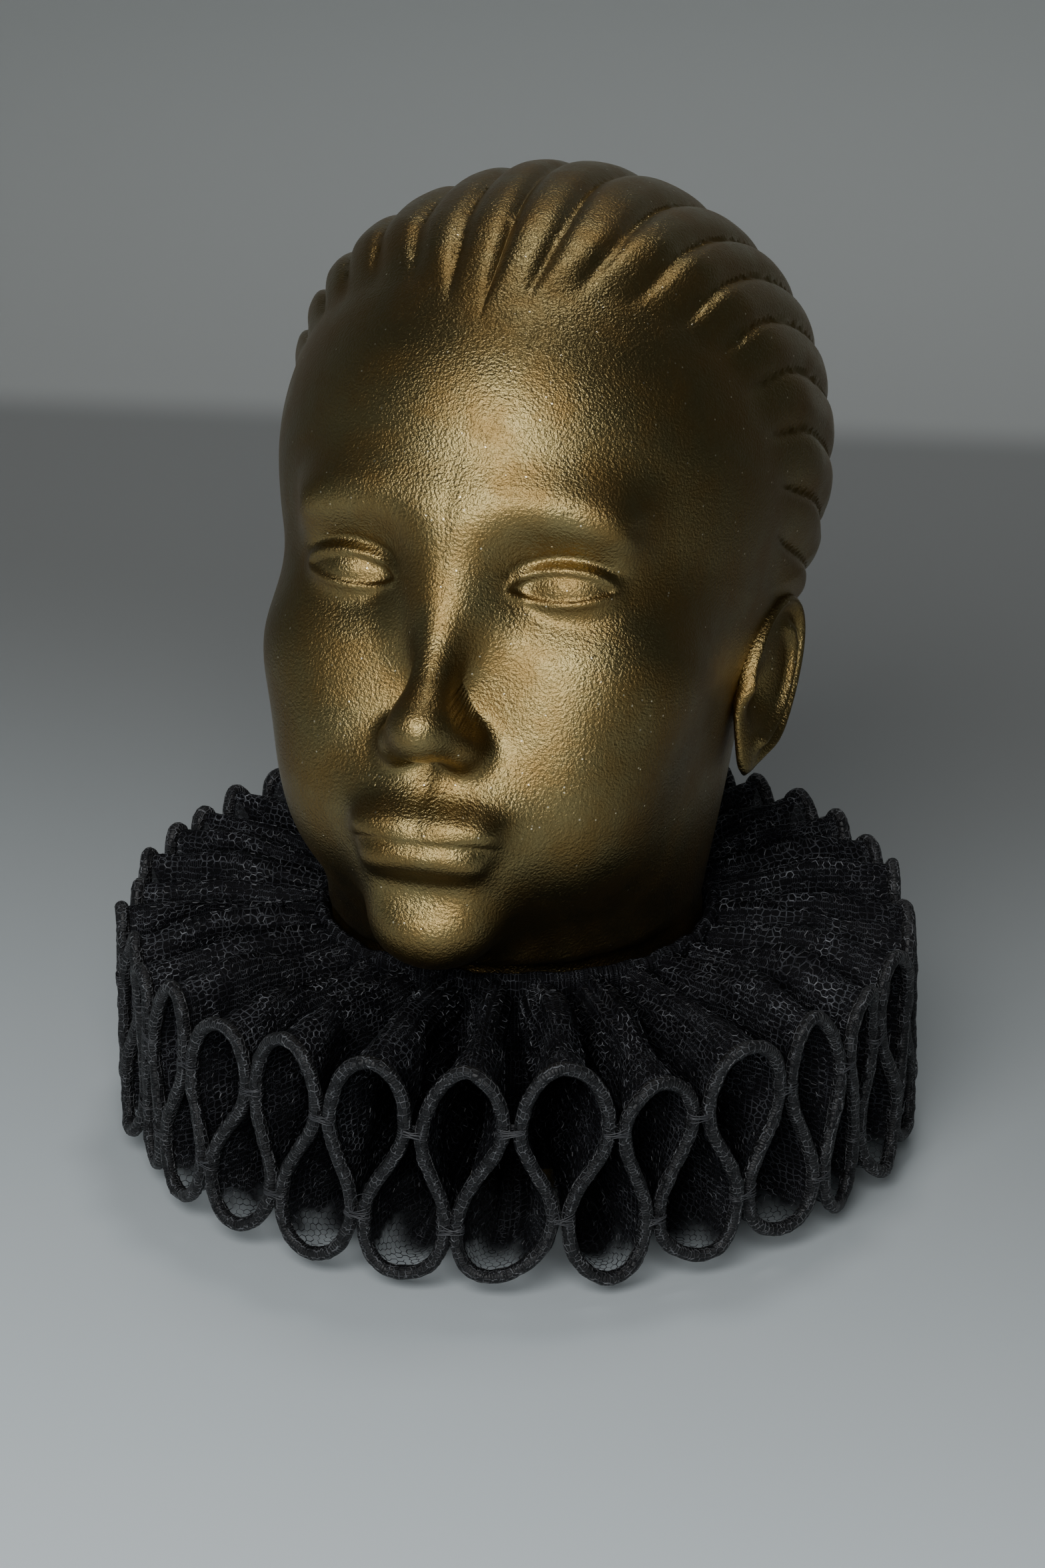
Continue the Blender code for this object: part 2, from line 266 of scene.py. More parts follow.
def tableAt(radius, column, soften=0.004):
    # the fold table between its rows, with the bend at the middle row rounded off and straight ends
    near = radius[:, None] + np.linspace(-soften, soften, 9)[None, :]
    inside = np.clip(near, foldTable[-1, 0], foldTable[0, 0])
    radii, heights = foldTable[::-1, 0], foldTable[::-1, column]
    atInside, atFolded = (np.interp(x, radii, heights) for x in (inside, 2 * inside - near))
    return (2 * atInside - atFolded).mean(axis=1)


def stripRows(radius, perLeg):
    # Each leg runs from an arch's top to a loop's bottom: a quarter ellipse, half a cosine wave and a
    # quarter ellipse, divided evenly by its own length. Gives rows x columns x 3 and the legs' lengths.
    legs = np.arange(2 * folds["pleats"])
    pleat = folds["firstLoop"] + legs // 2
    arch, loop = pleat + 0.5, pleat + legs % 2
    edge = ((radius - folds["neck"]) / (folds["cordRing"] - folds["neck"]))[:, None, None]
    arch3, loop3 = arch[None, :, None], loop[None, :, None]
    topZ, upperZ, lowerZ, bottomZ = (
        tableAt(radius, level + 1)[:, None, None] + edge * lift(level, number)
        for level, number in enumerate((arch3, loop3, arch3, loop3)))
    half = folds["cordRing"] * np.abs(azimuth(loop) - azimuth(arch))
    atEdge = (1 - folds["kiss"] / half)[None, :]
    inward = ((folds["cordRing"] - radius) / (folds["cordRing"] - folds["middle"]))[:, None]
    inner = np.interp(radius, (folds["neck"], folds["middle"]), folds["inner"])[:, None]
    wide = atEdge + (inner - atEdge) * inward ** folds["narrowing"]
    wide = np.where(inward < 1, wide, inner)[:, :, None]

    first, last = folds["bends"]
    t = np.linspace(0, 1, folds["samples"])[None, None, :]
    a = np.clip(t / first, 0, 1) * math.pi / 2
    s = np.clip((t - first) / (last - first), 0, 1)
    b = np.clip((t - last) / (1 - last), 0, 1) * math.pi / 2
    across = np.where(t <= first, wide * np.sin(a), np.where(
        t <= last, wide + (1 - 2 * wide) * (1 - np.cos(math.pi * s)) / 2, 1 - wide * np.cos(b)))
    z = np.where(t <= first, topZ - (topZ - upperZ) * (1 - np.cos(a)), np.where(
        t <= last, upperZ + (lowerZ - upperZ) * s, bottomZ + (lowerZ - bottomZ) * (1 - np.sin(b))))
    number = arch3 + (loop3 - arch3) * across
    turn = azimuth(arch3) + (azimuth(loop3) - azimuth(arch3)) * across - leanAt(number, z)
    path = around(turn, z + edge * backRise(number), radius[:, None, None])

    step = gaps(path, 2)
    run = np.concatenate([np.zeros(step.shape[:2] + (1,)), np.cumsum(step, axis=2)], axis=2)
    length = run[:, :, -1]
    order = 2 * np.arange(length.size).reshape(length.shape)[:, :, None]
    key = (run / length[:, :, None] + order).ravel()
    asked = np.linspace(0, 1, perLeg + 1)[None, None, :] + order
    even = [np.interp(asked.ravel(), key, path[..., i].ravel()).reshape(asked.shape) for i in range(3)]
    even = np.stack(even, axis=-1)
    even[:, 0::2] = even[:, 0::2, ::-1]
    joined = even[:, :, :-1].reshape(len(radius), -1, 3)
    return np.concatenate([joined, even[:, -1:, -1]], axis=1), length


# hand-sewn unevenness: a slow sway of the folds outward, sideways and in height, none at the neck
sway = {
    "outward": 0.0016, "sideways": 0.0017, "rise": 0.0009, "rate": 17.0, "climb": (38.0, 27.0),
    "still": 0.006,
}


def swayed(points):
    radius, turn = np.hypot(points[..., 0], points[..., 1]), np.arctan2(points[..., 0], -points[..., 1])
    z = points[..., 2]
    edge = smoothStep(folds["neck"] + sway["still"], folds["cordRing"], radius)
    x = sway["rate"] * np.cos(turn) + sway["climb"][0] * z
    y = sway["rate"] * np.sin(turn) + sway["climb"][1] * z
    radius = radius + sway["outward"] * edge * ripple(x, y, 41)
    turn = turn + sway["sideways"] / folds["cordRing"] * edge * ripple(x, y, 42)
    return around(turn, z + sway["rise"] * edge * ripple(x, y, 43), radius)


# the cloth: the strip with its drape and gathers, as one fine table of points

cloth = {
    "outer": 0.1182, "rows": 60, "perLeg": 132,
    # noise rates are for each millimetre along the strip and for its whole width
    "drape": 0.0026, "drapeRate": (0.16, 5.0), "drapeFrom": (0.02, 0.35), "drapeTo": (0.7, 1.0),
    "drapeLess": 0.6,
    "wanderRate": (0.11, 2.2), "strengthRate": (0.07, 1.5), "strengthOver": (-0.7, 0.8), "weakest": 0.45,
    "gather": 0.00135, "gatherPitch": 0.0048, "gatherWander": 2.4, "gatherFrom": (0.05, 0.80),
    "crease": 0.00034, "creasePitch": 0.0021, "creaseWander": 4.0, "creaseFrom": (0.15, 0.9),
    "creaseStart": 1.3,
}
clothRadius = np.linspace(cloth["outer"], folds["neck"], cloth["rows"])
clothPoints, legLength = stripRows(clothRadius, cloth["perLeg"])
columnCount = clothPoints.shape[1]
stripRun = running(np.repeat(legLength[0] / cloth["perLeg"], cloth["perLeg"]))
stripLength = stripRun[-1]
stripWidth = float(gaps(clothPoints).sum(axis=0).mean())
inwardShare = np.linspace(0, 1, cloth["rows"])[:, None]
runAcross = stripRun[None, :]


def clothFacing(points):
    return unit(np.cross(np.gradient(points, axis=1), np.gradient(points, axis=0)))


def clothNoise(rates, seed):
    return ripple(runAcross * 1000 * rates[0], inwardShare * rates[1], seed)


# drape is slow ripples with none at the cord; gathers are close radial waves that grow toward the neck
drape = clothNoise(cloth["drapeRate"], 11) * smoothStep(*cloth["drapeFrom"], inwardShare)
drape = drape * (1 - cloth["drapeLess"] * smoothStep(*cloth["drapeTo"], inwardShare))
wander = clothNoise(cloth["wanderRate"], 12)
strength = smoothStep(*cloth["strengthOver"], clothNoise(cloth["strengthRate"], 13))
strength = cloth["weakest"] + (1 - cloth["weakest"]) * strength
gathers = np.sin(2 * math.pi * runAcross / cloth["gatherPitch"] + cloth["gatherWander"] * wander)
gathers = gathers * strength * smoothStep(*cloth["gatherFrom"], inwardShare)
creases = 2 * math.pi * runAcross / cloth["creasePitch"] + cloth["creaseWander"] * wander
creases = np.sin(creases + cloth["creaseStart"]) * strength * smoothStep(*cloth["creaseFrom"], inwardShare)
shift = cloth["drape"] * drape + cloth["gather"] * gathers + cloth["crease"] * creases
clothPoints = swayed(clothPoints + clothFacing(clothPoints) * shift[:, :, None])
clothNormal = clothFacing(clothPoints)
print("strip of net:", round(stripLength, 3), "m by", round(stripWidth, 4), "m")


def onCloth(run, inward, values):
    # a table's value at a distance along the strip and a share of its width, between four neighbours
    col = np.clip(np.interp(run, stripRun, np.arange(columnCount)), 0, columnCount - 1.0001)
    row = np.clip(inward * (cloth["rows"] - 1), 0, cloth["rows"] - 1.0001)
    c, r = col.astype(int), row.astype(int)
    fc, fr = (col - c)[..., None], (row - r)[..., None]
    low = values[r, c] * (1 - fc) + values[r, c + 1] * fc
    high = values[r + 1, c] * (1 - fc) + values[r + 1, c + 1] * fc
    return low * (1 - fr) + high * fr


def seamRun(loop):
    return stripRun[int((loop - folds["firstLoop"]) * 2 * cloth["perLeg"])]


# materials of the cloth

# painted shade: the net's colour is darker on the deep sides of the folds than on the arches' tops, standing
# in for the shade that falls there
hollow = {"over": (0.040, 0.074), "dim": 0.52}


# painted shade: a colour factor rising from the dim share low in the folds to 1 at the arches' tops
def paintedShadeByHeight(m, place):
    return m.range(m.split(place)[2], *hollow["over"], hollow["dim"], 1.0)


threadLook = {
    "bright": (0.122, 0.127, 0.139), "dim": (0.011, 0.0115, 0.014),
    # scale, detail and roughness of the patches, and the noise between which they turn bright
    "patch": (105.0, 3.0, 0.6), "patchEdge": (0.44, 0.70),
    "shader": {"Roughness": 0.45, "Specular IOR Level": 0.3},
}
threadMaterial, m, shader = newMaterial("net thread", threadLook["shader"])
place = m.ownPlace()
tone = m.range(m.noise(place, *threadLook["patch"]), *threadLook["patchEdge"])
# painted shade: the thread colour darkens low down in the folds
tone = m.do("MULTIPLY", tone, paintedShadeByHeight(m, place))
m.give(shader["Base Color"], m.mixColour(tone, threadLook["dim"], threadLook["bright"]))


# net pressed into a second layer: uneven cells of a given width and height, squashed in patches
crumple = {
    "patchEdge": (0.44, 0.56), "openRandom": 0.55, "pressedRandom": 0.50, "lineEdge": (0.25, 0.75),
    "tone": (3.0, 0.6), "toneEdge": (0.36, 0.66),
}


def crumpledGroup():
    group, m, given, out = newGroup("crumpled net", (
        ("Vector", "Vector"), ("Open Cell", "Vector"), ("Pressed Cell", "Vector"), ("Patch Size", "Float"),
        ("Thread", "Float"), ("Tone Rate", "Float")), ("Line", "Height", "Patch", "Tone"))
    vector = given["Vector"]

    def threadEdge(size, randomness):
        scaled = m.node("VectorMath", {0: vector, 1: size}, operation="DIVIDE").outputs[0]
        inputs = {"Vector": scaled, "Scale": 1.0, "Randomness": randomness}
        made = m.node("TexVoronoi", inputs, voronoi_dimensions="2D", feature="DISTANCE_TO_EDGE")
        return made.outputs["Distance"]

    patch = m.range(m.noise(vector, m.do("DIVIDE", 1.0, given["Patch Size"])), *crumple["patchEdge"])
    openEdge = threadEdge(given["Open Cell"], crumple["openRandom"])
    pressedEdge = threadEdge(given["Pressed Cell"], crumple["pressedRandom"])
    edge = m.do("ADD", openEdge, m.do("MULTIPLY", patch, m.do("SUBTRACT", pressedEdge, openEdge)))
    line = m.do("SUBTRACT", 1.0, m.do("DIVIDE", edge, m.do("MULTIPLY", given["Thread"], 2.0)), clamp=True)
    tone = m.noise(vector, m.do("DIVIDE", given["Tone Rate"], given["Patch Size"]), *crumple["tone"])
    m.give(out["Line"], m.range(line, *crumple["lineEdge"]))
    m.give(out["Height"], line)
    m.give(out["Patch"], patch)
    m.give(out["Tone"], m.range(tone, *crumple["toneEdge"]))
    return group


crumpled = crumpledGroup()


def crumpledOn(m, values):
    # the pattern on a strip laid flat, in metres
    flat = m.node("UVMap", {}, uv_map="UVMap").outputs["UV"]
    return flat, m.node("Group", {"Vector": flat, **values}, node_tree=crumpled).outputs


groundLook = {
    "black": (0.0028, 0.0028, 0.0034), "bright": (0.058, 0.061, 0.068), "dim": (0.011, 0.011, 0.0135),
    # how much an open cell covers, and over which ragged height and distance from the cord that grows
    "openCover": (0.06, 0.95), "clearZ": (0.0092, 0.0145), "raggedZ": 0.0100, "ragged": 170.0,
    "clearFor": (0.008, 0.020), "threadCover": 0.92, "patchCover": 0.90,
    "cells": {"Open Cell": (0.0019, 0.0024, 1.0), "Pressed Cell": (0.0019, 0.00068, 1.0), "Patch Size": 0.011,
              "Thread": 0.075, "Tone Rate": 1.3},
    "shader": {"Roughness": 0.7, "Specular IOR Level": 0.08}, "bump": (0.8, 0.0002),
}
groundMaterial, m, shader = newMaterial("net ground", groundLook["shader"])
flat, pattern = crumpledOn(m, groundLook["cells"])
place = m.ownPlace()
# partly painted shade: above a ragged height and away from the cord the open cells are filled with nearly
# opaque black, for the net's denser layers and also standing in for the shade inside the ruff; low down near
# the cord they clear and the floor shows through
ragged = m.do("SUBTRACT", m.noise(place, groundLook["ragged"]), 0.5)
ragged = m.do("MULTIPLY", ragged, groundLook["raggedZ"])
high = m.range(m.do("ADD", m.split(place)[2], ragged), *groundLook["clearZ"])
high = m.do("MAXIMUM", high, m.range(m.split(flat)[1], *groundLook["clearFor"]))
# painted shade: the ground colour darkens low down in the folds
tone = m.do("MULTIPLY", pattern["Tone"], paintedShadeByHeight(m, place))
lit = m.mixColour(tone, groundLook["dim"], groundLook["bright"])
m.give(shader["Base Color"], m.mixColour(pattern["Line"], groundLook["black"], lit))
cover = m.range(high, 0.0, 1.0, *groundLook["openCover"], smooth=False)
for label, share in (("Patch", groundLook["patchCover"]), ("Line", groundLook["threadCover"])):
    cover = m.do("MAXIMUM", cover, m.do("MULTIPLY", m.do("MULTIPLY", pattern[label], high), share))
m.give(shader["Alpha"], cover)
m.bump(shader, pattern["Height"], *groundLook["bump"])
print("cloth materials done")


# net, four lengths: a ground on a coarse grid, whose UV is the strip laid flat, and threads

ground = {"rows": 27, "step": 0.0021}
threads = {
    "width": 0.00205, "height": 0.00275, "thick": 0.00023, "jitter": 0.00008, "lift": 0.00007, "twist": 0.6,
    "zigzagThick": (0.75, 1.25), "tieThick": (0.85, 1.35),
}


def ribbons(a, b, up, thick, rng):
    # flat threads from a to b, each with its own width and turned about itself
    widths = threads["thick"] * rng.uniform(*thick, up.shape[:-1])
    twist = rng.normal(0, threads["twist"], up.shape[:-1])
    along = unit(b - a)
    flat = unit(np.cross(up, along))
    w = (np.cos(twist)[..., None] * flat + np.sin(twist)[..., None] * up) * widths[..., None] / 2
    return np.stack([a - w, a + w, b + w, b - w], axis=-2).reshape(-1, 3)


for number, (begin, end) in enumerate(zip(folds["seams"][:-1], folds["seams"][1:]), 1):
    start, stop = seamRun(begin), seamRun(end)
    if begin == folds["firstLoop"]:
        start += folds["opening"] / 2
    if end == folds["lastLoop"]:
        stop -= folds["opening"] / 2
    cols = int(round((stop - start) / ground["step"])) + 1
    run, inward = np.meshgrid(np.linspace(start, stop, cols), np.linspace(0, 1, ground["rows"]))
    points = onCloth(run, inward, clothPoints)
    uv = flatPlaces(run, inward * stripWidth)
    piece = linkMesh(f"net_ground_{number}", points, gridFaces(ground["rows"], cols)[:, ::-1], uv)
    piece.data.materials.append(groundMaterial)

    # Threads lie on a lattice of six-sided cells laid flat on the strip: rows zigzag a quarter of a cell's
    # long side up and down, and every second point is tied to the next row.
    half = threads["width"] / 2
    rowCount = int(round(stripWidth / (0.75 * threads["height"])))
    rowStep = stripWidth / (rowCount + 0.5)
    columns = np.arange(math.ceil(start / half), math.floor(stop / half) + 1)
    i, j = np.meshgrid(columns, np.arange(rowCount + 1))
    up = np.where((i + j) % 2 == 0, 1.0, -1.0)
    rng = np.random.default_rng(100 + number)
    flatRun = np.clip(i * half + rng.normal(0, threads["jitter"], i.shape), start, stop)
    flatIn = (j + 0.25) * rowStep + up * threads["height"] / 8 + rng.normal(0, threads["jitter"], i.shape)
    share = np.clip(flatIn / stripWidth, 0.0, 1.0)
    p = onCloth(flatRun, share, clothPoints)
    n = unit(onCloth(flatRun, share, clothNormal))
    p = p + n * rng.normal(0, threads["lift"], i.shape)[..., None]
    zigzag = ribbons(p[:, :-1], p[:, 1:], n[:, :-1], threads["zigzagThick"], rng)
    tied = up[:-1] > 0
    ties = ribbons(p[:-1][tied], p[1:][tied], n[:-1][tied], threads["tieThick"], rng)
    points = np.concatenate([zigzag, ties])
    net = linkMesh(f"net_threads_{number}", points, np.arange(len(points)).reshape(-1, 4), smooth=False)
    net.data.materials.append(threadMaterial)
    for made in (piece, net):
        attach(made, "root")
        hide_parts(f"lace_length_{number}")
    print("length", number, "of net:", len(points) // 2, "triangles of thread")


# neckline: a strip in close knife pleats, hanging down outside the neckband and turned in over it

neckline = {
    "radius": 0.0600, "pleats": 250, "amplitude": 0.00042, "perPleat": 5, "rows": 9, "opening": 0.0012,
    # bottom, top and rows of what hangs
    "hang": (0.0120, 0.0660, 8), "hangRadius": 0.0597,
    # over the band the section is part of an upright ellipse, from outside to inside
    "centreZ": 0.0722, "halfWidth": 0.0022, "halfHeight": 0.0042, "sectionFrom": 0.25, "sectionTurn": 1.27,
    "uneven": (22, 60), "unevenSwing": 1.5, "unevenZ": 0.0005, "overBand": -5, "patternRadius": 0.10,
    "patternStart": 0.03,
}
opening = neckline["opening"] / neckline["radius"]
columns = neckline["pleats"] * neckline["perPleat"]
turn = azimuth(folds["lastLoop"]) + np.linspace(opening, 2 * math.pi - opening, columns)
s = np.linspace(0, 1, neckline["rows"])[:, None]
section = math.pi * (neckline["sectionTurn"] * s - neckline["sectionFrom"])
archR = neckline["radius"] + neckline["halfWidth"] * np.cos(section)
archZ = neckline["centreZ"] + neckline["halfHeight"] * np.sin(section)
hangZ = np.linspace(*neckline["hang"])[:, None]
archR, archZ = np.concatenate([0 * hangZ + neckline["hangRadius"], archR]), np.concatenate([hangZ, archZ])
s = np.concatenate([0 * hangZ, s])
uneven = ripple(turn[None, :] * neckline["uneven"][0], archZ * neckline["uneven"][1], 31)
swing = np.sin(turn[None, :] * neckline["pleats"] + neckline["unevenSwing"] * uneven)
archR = archR + neckline["amplitude"] * swing * (0.5 + 0.5 * np.sin(math.pi * s))
archZ = archZ + 0.5 * neckline["amplitude"] * swing + neckline["unevenZ"] * uneven
points = around(turn[None, :], archZ, archR)
down = running(gaps(points).mean(axis=1))
uv = flatPlaces(turn[None, :] * neckline["patternRadius"], down[:, None] + neckline["patternStart"])
necklinePiece = linkMesh("net_neckline", points, gridFaces(len(down), len(turn)), uv)
necklinePiece.data.materials.append(groundMaterial)
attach(necklinePiece, "root")


# edge cord: a tube along the strip's outer edge, its circle standing in the plane of the radius

cord = {
    "radius": 0.00208, "step": 0.00105, "sides": 12, "perLeg": 160, "capSteps": 4, "capEnd": 0.02,
    # size, rate for each millimetre along, rate round and seed
    "lumps": ((0.07, 0.8, 1.5, 21), (0.05, 2.2, 3.5, 22)),
    "bright": (0.152, 0.156, 0.166), "dim": (0.010, 0.010, 0.012), "black": (0.0030, 0.0030, 0.0036),
    "cells": {"Open Cell": (0.00185, 0.00140, 1.0), "Pressed Cell": (0.00095, 0.00260, 1.0),
              "Patch Size": 0.009, "Thread": 0.105, "Tone Rate": 2.6},
    "shader": {"Roughness": 0.55, "Specular IOR Level": 0.4}, "bump": (1.0, 0.0009),
}
cordPath = swayed(stripRows(np.array([folds["cordRing"]]), cord["perLeg"])[0][0])
cordRun = running(gaps(cordPath))
gap = folds["opening"] / 2
inner = np.linspace(gap, cordRun[-1] - gap, int((cordRun[-1] - 2 * gap) / cord["step"]))
bend = np.linspace(0, math.pi / 2, cord["capSteps"] + 1)[:-1]
cap = cord["radius"] * (1 - np.cos(bend))
place = np.concatenate([gap + cap, inner[2:-2], cordRun[-1] - gap - cap[::-1]])
closing = np.concatenate([np.sin(bend), np.ones(len(inner) - 4), np.sin(bend)[::-1]])
closing = np.maximum(closing, cord["capEnd"])
centre = np.stack([np.interp(place, cordRun, cordPath[:, i]) for i in range(3)], axis=-1)
tangent = unit(np.gradient(centre, axis=0))
outward = unit(centre * (1, 1, 0))
sideways = unit(np.cross(tangent, outward))
theta = np.linspace(0, 2 * math.pi, cord["sides"] + 1)
lump = 1
for size, rate, roundRate, seed in cord["lumps"]:
    lump = lump + size * ripple(place[:, None] * 1000 * rate, np.sin(theta)[None, :] * roundRate, seed)
ringRadius = cord["radius"] * closing[:, None] * lump
points = centre[:, None] - ringRadius[..., None] * (
    np.cos(theta)[None, :, None] * outward[:, None] + np.sin(theta)[None, :, None] * sideways[:, None])
girth = 2 * math.pi * cord["radius"]
uv = flatPlaces(place[:, None], theta[None, :] / (2 * math.pi) * girth)
cordPiece = linkMesh("rolled_edge", points, gridFaces(len(place), cord["sides"] + 1), uv)
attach(cordPiece, "root")
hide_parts("edge_cord")

cordMaterial, m, shader = newMaterial("rolled net edge", cord["shader"])
flat, pattern = crumpledOn(m, cord["cells"])
lit = m.mixColour(pattern["Tone"], cord["dim"], cord["bright"])
m.give(shader["Base Color"], m.mixColour(pattern["Line"], cord["black"], lit))
m.bump(shader, pattern["Height"], *cord["bump"])
cordPiece.data.materials.append(cordMaterial)
print("rolled edge done")


# stitches: a bundle of thread loops round both runs of cord wherever two runs meet, and a few loose ends

stitch = {
    "thread": 0.00017, "loops": 5, "spread": 0.0012, "sides": 4, "steps": 18,
    # a loop's sideways and outward reach round both cords, each with the range of its unevenness
    "sideShare": 0.92, "sideVary": (0.95, 1.02), "outGap": 0.00024, "outVary": (0.97, 1.06),
    "squareness": 0.55, "skew": 0.22,
    "looseEnds": 34, "looseReach": (0.003, 0.010), "looseCurl": 3.2, "looseAside": 0.5, "looseUp": 0.6,
    "looseOut": 0.0009, "looseLimit": 0.1238, "looseThread": 0.55,
    "shader": {"Base Color": (0.040, 0.041, 0.045), "Roughness": 0.5},
}
loops = np.arange(folds["firstLoop"] + 1, folds["lastLoop"])
arches = np.arange(folds["firstLoop"], folds["lastLoop"]) + 0.5
kissNumber = np.concatenate([loops, arches])
kissZ = np.concatenate([folds["upper"] + lift(1, loops), folds["lower"] + lift(2, arches)])
kissTurn = azimuth(kissNumber) - leanAt(kissNumber, kissZ)
kissZ = kissZ + backRise(kissNumber)
rng = np.random.default_rng(7)
which = np.repeat(np.arange(len(kissZ)), stitch["loops"])
order = np.tile(np.linspace(-1, 1, stitch["loops"]), len(kissZ))
turn0 = kissTurn[which]
phi = np.linspace(0, 2 * math.pi, stitch["steps"] + 1)[None, :] + rng.uniform(0, 6.28, len(which))[:, None]
reachSide = folds["kiss"] + cord["radius"] * stitch["sideShare"]
reachSide = reachSide * rng.uniform(*stitch["sideVary"], len(which))[:, None]
reachOut = cord["radius"] + stitch["outGap"]
reachOut = reachOut * rng.uniform(*stitch["outVary"], len(which))[:, None]
sideOff = reachSide * np.cos(phi)
outOff = reachOut * np.sign(np.sin(phi)) * np.abs(np.sin(phi)) ** stitch["squareness"]
zOff = order[:, None] * stitch["spread"] * (0.6 + 0.4 * np.abs(np.cos(phi)))
zOff = zOff + rng.normal(0, stitch["skew"], len(which))[:, None] * sideOff
radial = around(turn0, 0, 1)[:, None]
lateral = np.stack([np.cos(turn0), np.sin(turn0), 0 * turn0], axis=-1)[:, None]
middle = around(turn0, kissZ[which], folds["cordRing"])[:, None]
rings = swayed(middle) + (
    lateral * sideOff[..., None] + radial * outOff[..., None] + np.array([0, 0, 1]) * zOff[..., None])
# a loose end leaves a stitch outward and curls as it goes
pick = rng.integers(0, len(kissZ), stitch["looseEnds"])
t = np.linspace(0, 1, stitch["steps"] + 1)[None, :]
reach = rng.uniform(*stitch["looseReach"], len(pick))[:, None]
curl = rng.uniform(-stitch["looseCurl"], stitch["looseCurl"], (len(pick), 1))
aside = rng.normal(0, stitch["looseAside"], (len(pick), 1)) + np.sin(curl * t)
startTurn = kissTurn[pick][:, None] + aside * reach * t / folds["cordRing"]
upward = rng.normal(0, stitch["looseUp"], (len(pick), 1)) + np.cos(curl * t)
startZ = kissZ[pick][:, None] + reach * t * upward
outAt = folds["cordRing"] + cord["radius"] + stitch["looseOut"] * np.sin(math.pi * t) ** 0.5
loose = around(startTurn, startZ, np.minimum(outAt, stitch["looseLimit"]))
skinA, facesA = tubes(rings, stitch["thread"], stitch["sides"])
skinB, facesB = tubes(loose, stitch["thread"] * stitch["looseThread"], stitch["sides"])
skin, faces = np.concatenate([skinA, skinB]), np.concatenate([facesA, facesB + len(skinA)])
stitches = linkMesh("kiss_stitches", skin, faces)
stitches.data.materials.append(newMaterial("stitching thread", stitch["shader"])[0])
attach(stitches, "root")
print("stitches done:", len(faces) * 2, "triangles")


# display head: forms in millimetres from the level of the chin's underside, joined with soft blends,
# then turned and tilted over a round neck

headForms = (
    # centre, half sizes, blend, mirrored, added or taken away
    ((0, 16, 151), (78, 96, 85), 0, 0, 1),            # cranium
    ((0, -26, 147), (63.5, 61, 57), 30, 0, 1),        # forehead
    ((0, -24, 82), (57, 60, 78), 30, 0, 1),           # face
    ((0, -30, 47), (51, 46, 34), 24, 0, 1),           # jaw
    ((0, -74, 14), (18, 14, 14), 20, 0, 1),           # chin
    ((38, -50, 88), (24, 25, 18.5), 26, 1, 1),        # cheekbone
    ((29, -56, 60), (22, 22, 28), 22, 1, 1),          # cheek
    ((0, -74, 43.5), (23, 17.5, 22), 16, 0, 1),       # round the mouth
    ((20, -78, 131), (26, 10, 7.5), 18, 1, 1),        # brow
    ((31, -98, 115), (18, 16, 11), 16, 1, -1),        # eye socket
    ((0, -80, 113), (9, 8, 17.5), 18, 0, 1),          # nose root
    ((31, -70, 113), (15, 12.5, 11), 4, 1, 1),        # eyeball
    ((0, -101, 70), (8.5, 9, 8), 8, 0, 1),            # nose tip
    ((10, -91, 66), (5.2, 8, 5.8), 7, 1, 1),          # nose wing
    ((5.5, -90.8, 42), (15, 6.4, 4.6), 9, 1, 1),      # upper lip
    ((0, -90, 32), (17, 8.4, 6.2), 8, 0, 1),          # lower lip
    ((0, -100, 22), (18, 11, 5), 10, 0, -1),          # hollow under the lip
)
head = {
    "neck": 57.0, "neckTop": 79.0, "underside": 80.0, "lean": (82, 165, 38), "neckBlend": 22,
    "bridge": ((0, -82, 117), (0, -100, 72), 4.5, 6.5), "turn": 11.0, "tilt": 17.5,
    "chin": (0, -72, 0), "chinReach": 86.0, "chinHeight": 88.0,
    "centre": 170.0, "around": 400, "rings": 228, "crowding": 0.58, "bridgeBlend": 10,
    # shares of the rings at the base's rim, the neck's top, the face's lower and upper ends and the crown
    "ringShares": (0, 0.02, 0.07, 0.18, 0.68, 1), "faceTilts": (60, 122),
    # the march inward to the surface: where it starts, how many steps, and the longest early and late steps
    "farthest": 172.0, "marches": 96, "earlyMarches": 20, "earlyStep": 8, "lateStep": 2.5, "stepShare": 0.6,
}
hair = {
    "centre": (0, 8, 150), "pole": 15.0, "frontPole": -8.0, "ridges": 20, "spread": 118.0, "height": 3.6,
    "body": (0.5, 2.3), "nape": (132, 158), "roundness": 2.9, "fanTo": (35, 90), "wander": (0.16, 0.10),
    # degrees from the hairline over which grooves deepen and hair rises, and how low it is in front
    "groove": (-5, 13), "grow": (-3, 25), "sideFade": 9, "frontSwell": 0.72, "swellOver": (20, 60),
    "hairline": ((0, 11), (30, 15), (60, 35), (80, 58), (100, 80), (118, 92)),
}
headTurn = math.radians(head["turn"])
headTilt = Matrix.Rotation(-math.radians(head["tilt"]), 3, "X")
headTurned = np.array(Matrix.Rotation(headTurn, 3, "Z") @ headTilt)
chinPlace = around(headTurn, head["chinHeight"], head["chinReach"])


def toHead(p):
    return (p - chinPlace) @ headTurned + np.array(head["chin"])


def fromHead(q):
    return (q - np.array(head["chin"])) @ headTurned.T + chinPlace


def ellipsoidDistance(p, centre, size):
    q = (p - centre) / size
    near = np.linalg.norm(q, axis=1)
    return near * (near - 1) / np.maximum(np.linalg.norm(q / size, axis=1), 1e-9)


def barDistance(p, start, stop, r0, r1):
    start, stop = np.array(start, float), np.array(stop, float)
    along = stop - start
    t = np.clip((p - start) @ along / (along @ along), 0, 1)
    return np.linalg.norm(p - start - t[:, None] * along, axis=1) - (r0 + (r1 - r0) * t)


def blended(a, b, blend):
    h = np.maximum(blend - np.abs(a - b), 0)
    return np.minimum(a, b) - h * h / (4 * blend)


